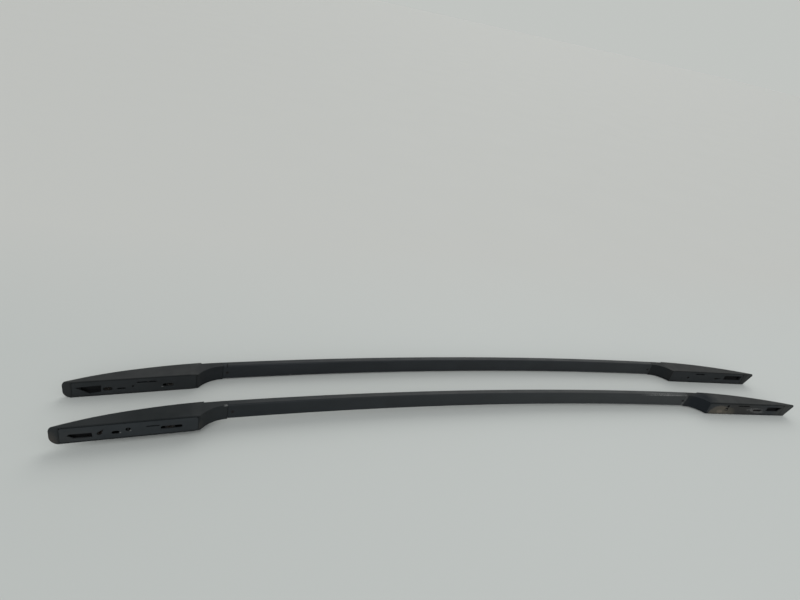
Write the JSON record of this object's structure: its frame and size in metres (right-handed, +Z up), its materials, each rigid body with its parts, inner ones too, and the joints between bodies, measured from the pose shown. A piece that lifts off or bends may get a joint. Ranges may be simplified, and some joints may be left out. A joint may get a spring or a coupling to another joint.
{
  "type": "pair of roof side rails",
  "caption": "Arched black roof side rails lying side by side, each a slim hollow bar ending in a long fin-shaped nose foot and a pointed tail foot.",
  "frame": {"origin": "bottom centre of the box round both rails, on the surface they lie on", "axes": "+X along the rails from the nose feet toward the tail feet, +Y from the seats toward the crowns of the bars, +Z up from the surface the rails lie on"},
  "size_m": [1.7582, 0.2206, 0.0489],
  "materials": {
    "near_bar_paint": "black powder coat, satin",
    "near_cover_plastic": "black, satin to semi-gloss",
    "near_foot_casting": "black coated casting, dull",
    "near_pad_plastic": "black, dull, dusty",
    "near_insert_steel": "zinc plated, slightly rusty",
    "near_clip_steel": "spring steel, grey",
    "near_screw_steel": "blackened",
    "far_bar_paint": "black powder coat, satin",
    "far_cover_plastic": "black, satin to semi-gloss",
    "far_foot_casting": "black coated casting, dull",
    "far_pad_plastic": "black, dull, dusty",
    "far_insert_steel": "zinc plated, slightly rusty",
    "far_clip_steel": "spring steel, grey",
    "far_screw_steel": "blackened"
  },
  "bodies": {
    "root": {"near_bar": "near_bar_paint", "near_nose_cover": "near_cover_plastic", "near_tail_cover": "near_cover_plastic", "near_nose_foot": "near_foot_casting", "near_tail_foot": "near_foot_casting", "near_nose_pad": "near_pad_plastic", "near_tail_pad": "near_pad_plastic", "near_nose_inserts": "near_insert_steel", "near_tail_inserts": "near_insert_steel", "near_cover_clips": "near_clip_steel", "near_joint_screws": "near_screw_steel", "far_bar": "far_bar_paint", "far_nose_cover": "far_cover_plastic", "far_tail_cover": "far_cover_plastic", "far_nose_foot": "far_foot_casting", "far_tail_foot": "far_foot_casting", "far_nose_pad": "far_pad_plastic", "far_tail_pad": "far_pad_plastic", "far_nose_inserts": "far_insert_steel", "far_tail_inserts": "far_insert_steel", "far_cover_clips": "far_clip_steel", "far_joint_screws": "far_screw_steel"}
  },
  "joints": []
}
